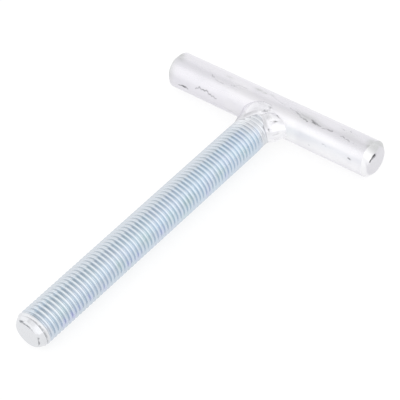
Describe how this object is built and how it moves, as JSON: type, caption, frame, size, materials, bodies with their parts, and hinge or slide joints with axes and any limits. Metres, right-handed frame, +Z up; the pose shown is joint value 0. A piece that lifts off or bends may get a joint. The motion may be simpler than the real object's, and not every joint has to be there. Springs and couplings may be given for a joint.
{
  "type": "anchor bolt",
  "caption": "Welded T-shaped anchor bolt: a long threaded stud with a tapered tip, fillet-welded square to the middle of a plain round cross bar with chamfered ends.",
  "frame": {"origin": "the point where the axis of the stud crosses the axis of the cross bar", "axes": "+X along the cross bar, -Y along the stud towards its tip, +Z up, square to both; the bolt lies flat"},
  "size_m": [0.106, 0.158, 0.0169],
  "materials": {
    "bar_zinc": "bright zinc plate, scratched along its length",
    "stud_zinc": "blue-tinted bright zinc plate",
    "weld_metal": "plated weld metal, smooth with shallow ripples"
  },
  "bodies": {
    "root": {"cross_bar": "bar_zinc", "threaded_stud": "stud_zinc", "weld_bead": "weld_metal"}
  },
  "joints": []
}
